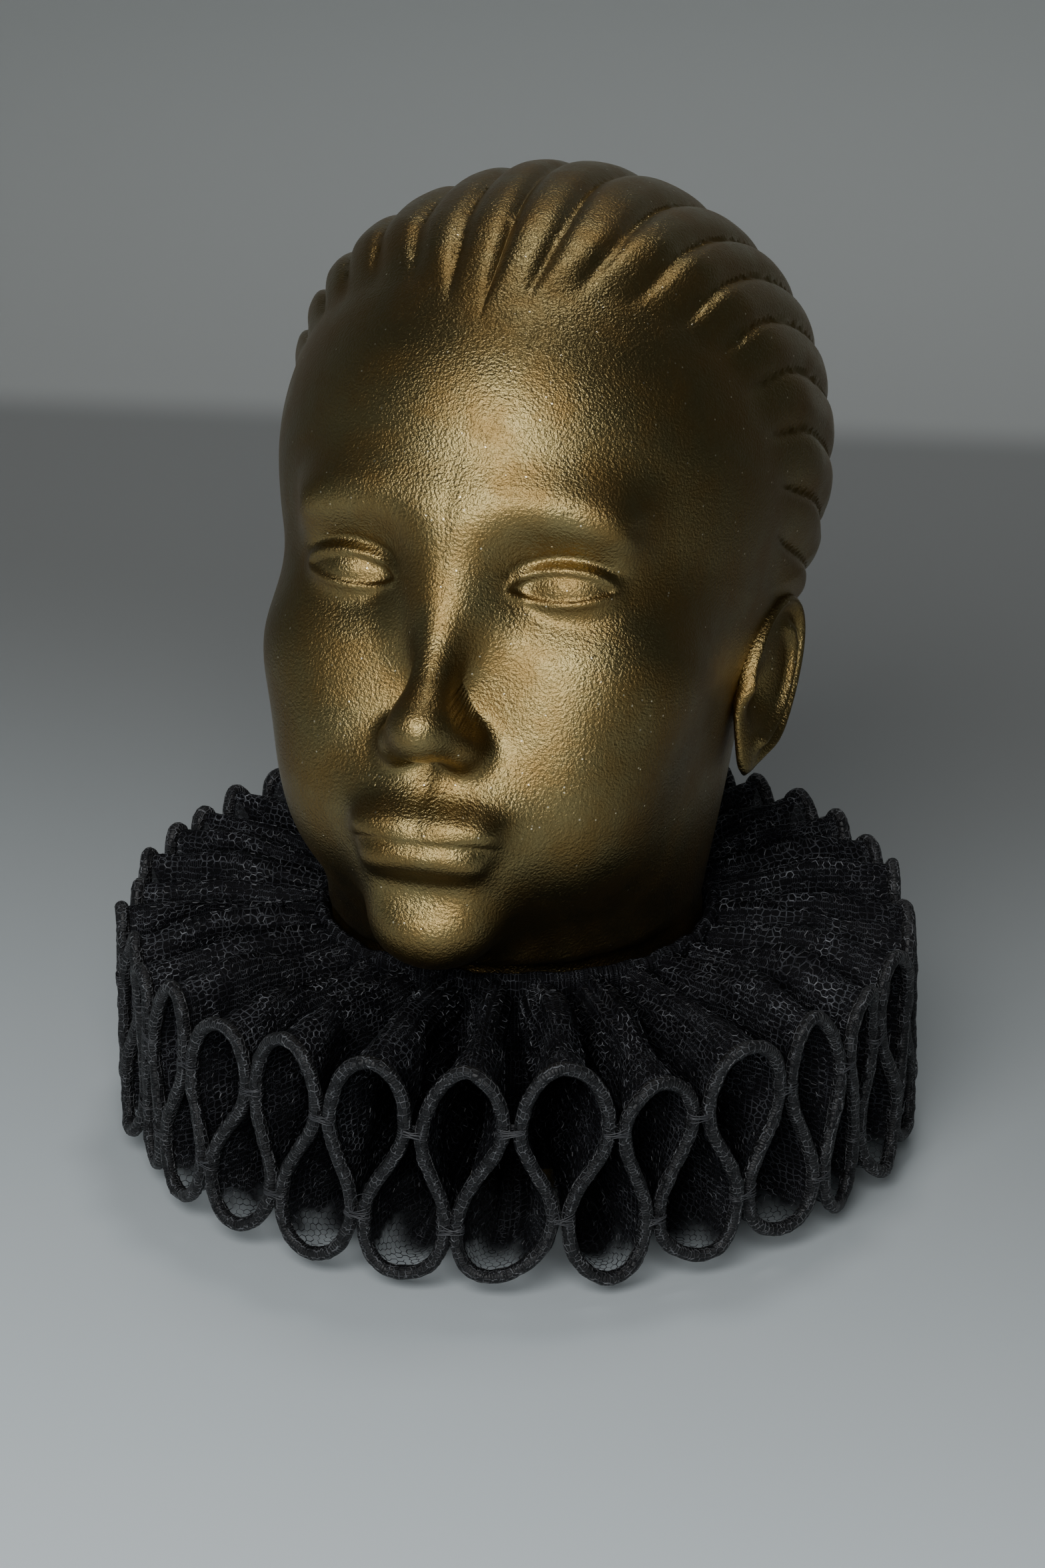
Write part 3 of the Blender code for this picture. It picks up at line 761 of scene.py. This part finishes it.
def headDistance(p):
    start, stop, lean = head["lean"]
    back = lean * np.clip((p[:, 2] - start) / (stop - start), 0, 1)
    neck = np.maximum(np.hypot(p[:, 0], p[:, 1] - back) - head["neck"], p[:, 2] - stop)
    q = toHead(p)
    folded = q.copy()
    folded[:, 0] = np.abs(q[:, 0])
    total = blended(ellipsoidDistance(q, *headForms[0][:2]), neck, head["neckBlend"])
    for centre, size, blend, mirrored, sign in headForms[1:]:
        form = ellipsoidDistance(folded if mirrored else q, centre, size)
        total = sign * blended(sign * total, form, blend)
    return blended(total, barDistance(q, *head["bridge"]), head["bridgeBlend"])


def headReach(way, centre):
    # distance from a centre to the surface, marching inward along each direction
    far = np.full(len(way), head["farthest"])
    for step in range(head["marches"]):
        longest = head["earlyStep"] if step < head["earlyMarches"] else head["lateStep"]
        far -= np.clip(headDistance(centre + way * far[:, None]) * head["stepShare"], -2, longest)
    return far


def hairLift(q):
    # Rounded ridges from the hairline to the nape: grooves that start quickly in hair that swells up slowly.
    # They run along meridians from a pole at the top of the forehead, and near the hairline they spread from
    # a lower one, so that they start wide.
    w = unit(q - np.array(hair["centre"]))
    a = math.radians(hair["pole"])
    low = math.radians(hair["frontPole"])
    pole, upAxis = np.array([0, -math.cos(a), math.sin(a)]), np.array([0, math.sin(a), math.cos(a)])
    beta = np.degrees(np.arccos(np.clip(w @ pole, -1, 1)))
    psi = np.degrees(np.arctan2(w[:, 0], w @ upAxis))
    frontPsi = np.degrees(np.arctan2(w[:, 0], w @ np.array([0, math.sin(low), math.cos(low)])))
    line = np.interp(np.abs(psi), *np.array(hair["hairline"], float).T)
    wander = hair["wander"][0] * np.sin(np.radians(2.3 * psi + 2.2 * beta))
    wander = wander + hair["wander"][1] * np.sin(np.radians(6.1 * psi + 57))
    fan = psi + (frontPsi - psi) * (1 - smoothStep(*hair["fanTo"], beta))
    lane = fan / (2 * hair["spread"]) * hair["ridges"] + wander * smoothStep(15, 70, beta)
    offset = 2 * (lane - np.floor(lane)) - 1
    ridge = 1 - np.abs(offset) ** hair["roundness"]
    cut, grown = (smoothStep(line + a, line + b, beta) for a, b in (hair["groove"], hair["grow"]))
    side = 1 - smoothStep(hair["spread"] - hair["sideFade"], hair["spread"], np.abs(psi))
    nape = 1 - smoothStep(*hair["nape"], beta)
    swell = hair["frontSwell"] + (1 - hair["frontSwell"]) * smoothStep(*hair["swellOver"], beta)
    body = smoothStep(20, 50, np.abs(psi)) * smoothStep(115, 85, np.abs(psi))
    body = hair["body"][0] + hair["body"][1] * body
    tall = hair["height"] * swell
    return ((tall + body) * grown - tall * (1 - ridge) * cut) * side * nape


eyes = {
    "aside": 31.5, "half": 14.5, "level": 112.3, "slant": 0.9, "open": (4.6, 3.4), "arch": (0.75, 0.9),
    "ball": 0.9, "rims": (0.9, 0.7), "rimWidth": 1.2, "crease": 1.0, "creaseUp": 5.0, "creaseWidth": 1.3,
}
mouth = {"level": 37.2, "dip": (0.5, 9), "parting": (1.3, 1.0), "half": (24, 17), "groove": (0.7, 2.8)}


def faceLift(q):
    # lids, lid crease, parting of the lips and the groove above them, as soft ridges and hollows
    x, z = np.abs(q[:, 0]), q[:, 2]
    front = smoothStep(-58, -66, q[:, 1])
    u = (x - eyes["aside"]) / eyes["half"]
    inEye = np.clip(1 - u * u, 0, 1)
    middle = eyes["level"] + eyes["slant"] * u
    upper = middle + eyes["open"][0] * inEye ** eyes["arch"][0]
    lower = middle - eyes["open"][1] * inEye ** eyes["arch"][1]
    across = smoothStep(1.12, 0.9, np.abs(u))
    ball = smoothStep(lower - 0.5, lower + 0.7, z) * (1 - smoothStep(upper - 0.7, upper + 0.5, z)) * across
    rim = eyes["rims"][0] * bell(z, upper + 1.3, eyes["rimWidth"])
    rim = rim + eyes["rims"][1] * bell(z, lower - 1.1, eyes["rimWidth"])
    crease = eyes["crease"] * bell(z, upper + eyes["creaseUp"], eyes["creaseWidth"])
    crease = crease * smoothStep(1.25, 0.8, np.abs(u))
    line = mouth["level"] - mouth["dip"][0] * bell(x, 0, mouth["dip"][1])
    parting = bell(z, line, mouth["parting"][1]) * smoothStep(*mouth["half"], x) * front
    groove = bell(x, 0, mouth["groove"][1]) * smoothStep(46, 51, z) * smoothStep(62, 57, z)
    relief = rim * across - eyes["ball"] * ball - crease - mouth["groove"][0] * groove
    return front * relief - mouth["parting"][0] * parting


# a sphere of directions, closer on the face, each point moved out to the head's surface
ring = np.linspace(0, 1, head["rings"] + 1)
rim = math.atan(head["neck"] / head["centre"])
collar = math.atan(head["neck"] / (head["centre"] - head["neckTop"]))
faceEnds = [math.radians(angle) for angle in head["faceTilts"]]
tilt = np.interp(ring, head["ringShares"], (0, rim, collar, *faceEnds, math.pi))
turn = circle(head["around"])
turn = turn - head["crowding"] * np.sin(turn) + headTurn
tiltAll, turnAll = np.broadcast_arrays(tilt[1:-1, None], turn[None, :])
way = around(turnAll, -np.cos(tiltAll), np.sin(tiltAll)).reshape(-1, 3)
way = np.concatenate([way, [(0, 0, 1.0)]])
low = np.append(tiltAll.ravel() <= collar + 1e-9, False)
middle = np.array([0, 0, head["centre"]])
far = headReach(way, middle)
q = toHead(middle + way * far[:, None])
far = far + hairLift(q) + faceLift(q)
down = np.maximum(-way[:, 2], 0.01)
floorFar = (head["centre"] - np.where(low, 0, head["underside"])) / down
wallFar = head["neck"] / np.maximum(np.hypot(way[:, 0], way[:, 1]), 1e-6)
far = np.where(low, np.minimum(floorFar, wallFar), np.minimum(far, np.where(way[:, 2] < 0, floorFar, 1e9)))
points = np.concatenate([middle + way * far[:, None], [(0, 0, 0)]]) / 1000
rows, cols = head["rings"] - 1, head["around"]
fans = poleFans(rows, cols, rows * cols + 1, rows * cols)
headPiece = linkMesh("head_form", points, gridFaces(rows, cols, closed=True), fans=fans)
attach(headPiece, "root")
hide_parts("display_head")
print("head done")


# ears: an egg-shaped outline in a leaning plane, with relief by how far in from the rim a point is
ear = {
    "centre": (70.0, 16.0, 88.0), "half": (15.5, 29.5), "flare": 13.0, "tilt": -18.0, "around": 72,
    "frontRings": 32, "backRings": 12, "narrowLobe": 0.28, "widerTop": 0.10, "bulge": 2.0,
    "frontThick": 3.0, "backThick": 4.0,
    # height, then its place and width from the middle to the rim, or for bowl and bead across and upward
    "helix": (3.4, 0.90, 0.085), "fold": (2.8, 0.62, 0.09), "bowl": (-4.6, (-3.0, 6.0), (-5.0, 8.5)),
    "bead": (2.6, (-12.0, 3.2), (-6.0, 4.5)),
}
earPieces = []
cols = ear["around"]
for side in (1, -1):
    phi = circle(cols)[None, :]
    rings = np.linspace(0.02, 1.0, ear["frontRings"]), 1.0 + np.linspace(0.04, 0.98, ear["backRings"])
    k = np.concatenate(rings)[:, None]
    rho = np.where(k <= 1, k, 2 - k)
    lobe = 1 - ear["narrowLobe"] * smoothStep(0.35, 1.0, -np.sin(phi))
    y = ear["half"][0] * (1 + ear["widerTop"] * np.sin(phi)) * np.cos(phi) * lobe * rho
    y = y + ear["bulge"] * rho * np.sin(phi) ** 2
    z = ear["half"][1] * np.sin(phi) * rho
    high, *place = ear["helix"]
    helix = high * bell(rho, *place) * smoothStep(-0.9, -0.2, np.sin(phi) + 0.4 * np.cos(phi))
    high, *place = ear["fold"]
    fold = high * bell(rho, *place) * smoothStep(-0.2, 0.5, np.cos(phi) + 0.2)
    bowl, bead = (high * bell(y, *aside) * bell(z, *up) for high, aside, up in (ear["bowl"], ear["bead"]))
    front = ear["frontThick"] * np.sqrt(np.clip(1 - rho ** 4, 0, 1)) + helix + fold + bowl + bead
    behind = -ear["backThick"] * np.sqrt(np.clip(1 - rho ** 2.2, 0, 1))
    points = np.stack(np.broadcast_arrays(np.where(k <= 1, front, behind), y, z), axis=-1)
    leaned = np.array(Matrix.Rotation(-math.radians(ear["flare"]), 3, "Z") @ Matrix.Rotation(
        math.radians(ear["tilt"]), 3, "X"))
    points = (points @ leaned.T + np.array(ear["centre"])) * (side, 1, 1)
    points = fromHead(points.reshape(-1, 3)) / 1000
    quads = gridFaces(len(k), cols, closed=True)
    fans = poleFans(len(k), cols, len(points), len(points) + 1)
    points = np.concatenate([points, [points[:cols].mean(axis=0), points[-cols:].mean(axis=0)]])
    if side < 0:
        quads, fans = quads[:, ::-1], fans[:, ::-1]
    earPiece = linkMesh("ear_left" if side > 0 else "ear_right", points, quads, fans=fans)
    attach(earPiece, "root")
    earPieces.append(earPiece)
print("ears done")


# gold paint: a metal whose fine grain and specks follow the object's own coordinates
gold = {
    "colour": (0.219, 0.169, 0.071), "dark": (0.196, 0.128, 0.045), "speck": (0.95, 0.82, 0.55),
    "rough": (0.38, 0.29), "speckSmoother": 0.15, "bump": (0.85, 0.0004),
    # scale, detail and roughness of grain and clouds; how rare and how large specks are
    "grain": (1200.0, 2.0, 0.6), "clouds": (60.0, 4.0, 0.6), "cloudEdge": (0.3, 0.7),
    "specks": 560.0, "speckRare": 0.93, "speckEdge": (0.20, 0.08), "shader": {"Metallic": 1.0},
}


def grainGroup():
    group, m, given, out = newGroup("orange peel", (("Vector", "Vector"),), ("Height", "Speck", "Cloud"))
    vector = given["Vector"]
    cells = m.node("TexVoronoi", {"Vector": vector, "Scale": gold["specks"]}).outputs
    chance = m.node("SeparateColor", {0: cells["Color"]}).outputs[0]
    rare = m.do("GREATER_THAN", chance, gold["speckRare"])
    near = m.range(cells["Distance"], *gold["speckEdge"])
    m.give(out["Height"], m.noise(vector, *gold["grain"]))
    m.give(out["Speck"], m.do("MULTIPLY", rare, near))
    m.give(out["Cloud"], m.noise(vector, *gold["clouds"]))
    return group


goldMaterial, m, shader = newMaterial("gold paint", gold["shader"])
grain = m.node("Group", {"Vector": m.ownPlace()}, node_tree=grainGroup()).outputs
cloud = m.range(grain["Cloud"], *gold["cloudEdge"])
cloudMix = m.mixColour(cloud, gold["dark"], gold["colour"])
m.give(shader["Base Color"], m.mixColour(grain["Speck"], cloudMix, gold["speck"]))
rough = m.range(cloud, 0.0, 1.0, *gold["rough"], smooth=False)
rough = m.do("SUBTRACT", rough, m.do("MULTIPLY", grain["Speck"], gold["speckSmoother"]))
m.give(shader["Roughness"], rough)
m.bump(shader, grain["Height"], *gold["bump"])
for piece in (headPiece, *earPieces):
    piece.data.materials.append(goldMaterial)

tape = {"Base Color": (0.006, 0.006, 0.007), "Roughness": 0.9, "Specular IOR Level": 0.1}
bandMaterial = newMaterial("black tape", tape)[0]
for name in ("neckband", "back_placket"):
    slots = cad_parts[name].data.materials
    slots.clear()
    slots.append(bandMaterial)
print("gold and tape done")


# a round floor that sweeps up into a far wall, its colour painted with light: brighter in front, darker far
# back and lighter again past a painted horizon line; and soft light

studio = {
    "near": (0.69, 0.765, 0.80), "far": (0.166, 0.173, 0.171), "beyond": (0.40, 0.424, 0.420),
    # metres back over which the painted light changes the tones; just beyond the painted horizon line the far
    # tone is this much brighter
    "nearToFar": (-0.48, 0.45), "line": (0.735, 0.80), "beyondAt": 1.9, "lineTurn": 20.0, "toneTurn": 4.0,
    "atLine": 1.75, "shader": {"Roughness": 0.8},
    "flatRings": (0.001, 0.5, 1.2, 1.8), "radius": 2.9, "curve": 0.7, "wallTop": 2.4, "drop": 0.0002,
    "sides": 64,
    # place, size and power of each light, and what it points at if that isn't the head
    "key": ((0.38, -1.44, 1.04), 1.25, 31.0), "top": ((-0.08, 0.40, 1.55), 0.35, 4.2),
    "back": ((-0.31, 0.85, 1.50), 0.9, 10.0, (-0.99, 2.72, 0.3)),
    "sky": (0.80, 0.84, 0.88), "skyStrength": 0.058,
}
s = np.linspace(0, math.pi / 2, 9)
curve = studio["radius"] + studio["curve"] * (np.sin(s) - 1)
ringOut = np.concatenate([studio["flatRings"], curve, [studio["radius"]]])
rise = studio["curve"] * (1 - np.cos(s))
rise = np.concatenate([0 * np.array(studio["flatRings"]), rise, [studio["wallTop"]]]) - studio["drop"]
turn = circle(studio["sides"])
points = around(turn[None, :], rise[:, None], ringOut[:, None])
sweep = linkMesh("floor_sweep", points, gridFaces(len(ringOut), len(turn), closed=True))
material, m, shader = newMaterial("floor with painted light", studio["shader"])
place = m.split(m.ownPlace())


def distanceBack(turn):
    # how far back along a direction, in metres
    a = math.radians(turn)
    return m.do("ADD", m.do("MULTIPLY", place[0], -math.sin(a)), m.do("MULTIPLY", place[1], math.cos(a)))


back, toneBack = distanceBack(studio["lineTurn"]), distanceBack(studio["toneTurn"])
# painted light: the floor's colour fades from a bright pool in front to darker far back, along its own turned
# direction
paintedLightFalloff = m.mixColour(m.range(toneBack, *studio["nearToFar"]), studio["near"], studio["far"])
# painted light: past the line the colour turns lighter again toward the beyond tone, as a lit backdrop
paintedBackdropLight = m.range(back, studio["line"][1], studio["beyondAt"], smooth=False)
paintedBackdropLight = m.mixColour(paintedBackdropLight, tuple(studio["atLine"] * v for v in studio["far"]), studio["beyond"])
m.give(shader["Base Color"], m.mixColour(m.range(back, *studio["line"]), paintedLightFalloff, paintedBackdropLight))
sweep.data.materials.append(material)


def softLight(name, place, size, power, target=(0, 0, 0.14)):
    lamp = bpy.data.lights.new(name, "AREA")
    lamp.shape, lamp.size, lamp.energy = "DISK", size, power
    obj = bpy.data.objects.new(name, lamp)
    obj.location = place
    obj.rotation_euler = (Vector(target) - Vector(place)).to_track_quat("-Z", "Y").to_euler()
    bpy.context.scene.collection.objects.link(obj)


for name in ("key", "top", "back"):
    softLight(name, *studio[name])
world = bpy.data.worlds.new("studio")
world.use_nodes = True
sky = world.node_tree.nodes["Background"]
sky.inputs["Color"].default_value = (*studio["sky"], 1)
sky.inputs["Strength"].default_value = studio["skyStrength"]
bpy.context.scene.world = world

view = {
    "turn": 28.0, "height": 21.3, "distance": 1.300, "aim": (0, 0, 0.113), "lens": 97.96, "shift": 0.0034,
    "sensor": 36.0,
}
a, e = math.radians(view["turn"]), math.radians(view["height"])
aside = Vector(around(a, math.sin(e), math.cos(e)))
camera = bpy.data.objects.new("camera", bpy.data.cameras.new("camera"))
camera.data.sensor_fit = "VERTICAL"
camera.data.sensor_height = view["sensor"]
camera.data.lens = view["lens"]
camera.data.shift_x = view["shift"]
camera.location = Vector(view["aim"]) + aside * view["distance"]
camera.rotation_euler = (-aside).to_track_quat("-Z", "Y").to_euler()
bpy.context.scene.collection.objects.link(camera)
bpy.context.scene.camera = camera
